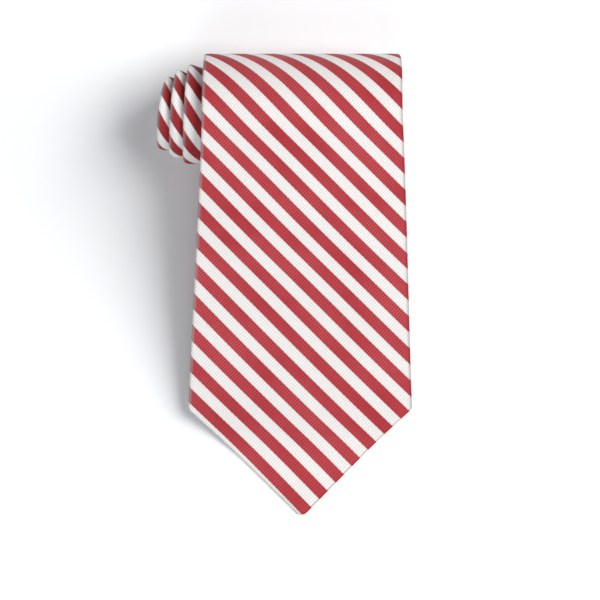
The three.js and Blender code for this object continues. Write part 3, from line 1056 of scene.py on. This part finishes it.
class TIE_OT_sewing(bpy.types.Operator):
    """Sew the back seam, the tacks and the joins"""

    bl_idname = "tie.sewing"
    bl_label = "Sewing"

    def execute(self, context):
        strip = Strip(context.scene.tie_sizes)
        back = -strip.face
        split = half_turn(strip)
        slip_from, slip_to = strip.blade_opening + 10, strip.tie_length - strip.tail_opening - 8
        flat_picks = np.arange(slip_from, strip.flap_length - 26, SLIP_PITCH)
        bent_picks = np.arange(strip.flap_length - 8, split - 3, SLIP_PITCH)
        picks = [(s, -1.0, back - 0.26, 2.6, SLIP_TURN) for s in flat_picks]
        picks += [(s, -1.0, back - 0.05, 2.0, SLIP_TURN) for s in bent_picks]
        over_lift(sew(strip, "slip_stitches_blade", picks, 0.24, "seam_thread_flap"))

        hidden_picks = np.arange(split + 4, slip_to, SLIP_PITCH)
        hidden = [(s, -1.0, back + 0.02, 1.6, SLIP_TURN) for s in hidden_picks]
        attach(sew(strip, "slip_stitches_coil", hidden, 0.2, "seam_thread_coil"), "coil")

        wide = bar_tack(strip.blade_opening + 4, back - 0.42, 5.0, 9)
        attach(sew(strip, "blade_tack", wide, 0.3, "blade_bar_tack"), "blade")
        narrow = bar_tack(strip.tie_length - strip.tail_opening - 2, back + 0.02, 3.0, 7)
        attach(sew(strip, "narrow_tack", narrow, 0.2, "tail_bar_tack"), "coil")

        for side, node in ((-1, "keeper_tack_left"), (1, "keeper_tack_right")):
            middle = side * (LOOP_SPAN / 2 - 2.2)
            rows = []
            for i in range(KEEPER_TACKS):
                along = LOOP_AT + (i - (KEEPER_TACKS - 1) / 2) * KEEPER_TACK_PITCH
                rows.append((along, middle + 0.35 * (-1) ** i, back - 0.72, 1.5, math.pi / 2))
            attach(sew(strip, node + "_thread", rows, 0.26, node), "blade")

        for at, node in ((strip.neck_join, "neck_join_stitching"), (strip.tail_join, "tail_join_stitching")):
            reach = float(strip.half_width(at)) - 1.5
            across = np.arange(-reach, reach, JOIN_PITCH)
            row = [(at, u, strip.face - 0.2, 1.7, math.pi / 2) for u in across]
            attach(sew(strip, node + "_row", row, 0.2, node), "coil")
        return {"FINISHED"}


# ---------------- floor, light and camera


FLOOR_SIZE = 6
FLOOR_COLOUR = [0.965, 0.97, 0.975]
WORLD_COLOUR, WORLD_STRENGTH = (0.87, 0.94, 1.0, 1), 0.13
# The camera looks straight down, from a little left of the blade's middle
CAMERA_HEIGHT, CAMERA_LENS = 1.4, 196.9
CAMERA_LEFT, CAMERA_FROM_POINT = 1 * MM, 91.5 * MM


def area_light(name, place, target, size, power, tint=(1, 1, 1)):
    """A square soft light, turned to face its target."""
    lamp = bpy.data.lights.new(name, "AREA")
    lamp.size = size
    lamp.energy = power
    lamp.color = tint
    thing = bpy.data.objects.new(name, lamp)
    way = np.array(target) - np.array(place)
    thing.location = place
    thing.rotation_mode = "QUATERNION"
    thing.rotation_quaternion = Vector(way).to_track_quat("-Z", "Y")
    bpy.context.scene.collection.objects.link(thing)


class TIE_OT_stage(bpy.types.Operator):
    """Set the pale floor, the soft light and the camera"""

    bl_idname = "tie.stage"
    bl_label = "Stage"

    def execute(self, context):
        scene = context.scene
        bpy.ops.object.select_all(action="DESELECT")
        bpy.ops.mesh.primitive_plane_add(size=FLOOR_SIZE, location=(0, 0, 0))
        floor = context.active_object
        floor.name = "studio_floor"
        board = Board("pale_floor", roughness=0.9, specular=0.1)
        grain = board.noise(board.space(), 40.0, detail=3.0)
        floor.data.materials.append(board.finish(board.shade(FLOOR_COLOUR, 0.99 + grain * 0.02)))

        area_light("key", (0.8, 0.3, 1.02), (0, 0, 0.02), 1.0, 21.0)
        area_light("front_fill", (-0.3, -0.95, 0.95), (0, 0, 0), 1.0, 8.5, (0.93, 0.97, 1))
        world = bpy.data.worlds.new("studio")
        world.use_nodes = True
        background = world.node_tree.nodes["Background"]
        background.inputs["Color"].default_value = WORLD_COLOUR
        background.inputs["Strength"].default_value = WORLD_STRENGTH
        scene.world = world
        scene.view_settings.view_transform = "Standard"

        camera = bpy.data.cameras.new("camera")
        camera.sensor_width = 36
        camera.lens = CAMERA_LENS
        camera.clip_start, camera.clip_end = 0.05, 20
        eye = bpy.data.objects.new("camera", camera)
        middle = (FLAP_LOW.x + FLAP_HIGH.x) / 2
        eye.location = (middle - CAMERA_LEFT, FLAP_LOW.y + CAMERA_FROM_POINT, CAMERA_HEIGHT)
        scene.collection.objects.link(eye)
        scene.camera = eye
        return {"FINISHED"}


# ---------------- add-on


class TIE_PT_panel(bpy.types.Panel):
    """The necktie's tools in the sidebar."""

    bl_label = "Necktie"
    bl_idname = "TIE_PT_panel"
    bl_space_type = "VIEW_3D"
    bl_region_type = "UI"
    bl_category = "Necktie"

    def draw(self, context):
        for name in OPERATORS:
            self.layout.operator(f"tie.{name}")
        for group in (context.scene.tie_sizes, context.scene.tie_weave):
            for name in group.__annotations__:
                self.layout.prop(group, name)


OPERATORS = ("stage", "envelope", "interlining", "linings", "keeper", "label", "sewing")
CLASSES = (
    TieSizes,
    TieWeave,
    TIE_OT_stage,
    TIE_OT_envelope,
    TIE_OT_interlining,
    TIE_OT_linings,
    TIE_OT_keeper,
    TIE_OT_label,
    TIE_OT_sewing,
    TIE_PT_panel,
)


def register():
    for item in CLASSES:
        bpy.utils.register_class(item)
    bpy.types.Scene.tie_sizes = PointerProperty(type=TieSizes)
    bpy.types.Scene.tie_weave = PointerProperty(type=TieWeave)


def unregister():
    del bpy.types.Scene.tie_weave
    del bpy.types.Scene.tie_sizes
    for item in reversed(CLASSES):
        bpy.utils.unregister_class(item)


def main():
    register()
    for name in OPERATORS:
        getattr(bpy.ops.tie, name)()


if __name__ == "__main__":
    main()
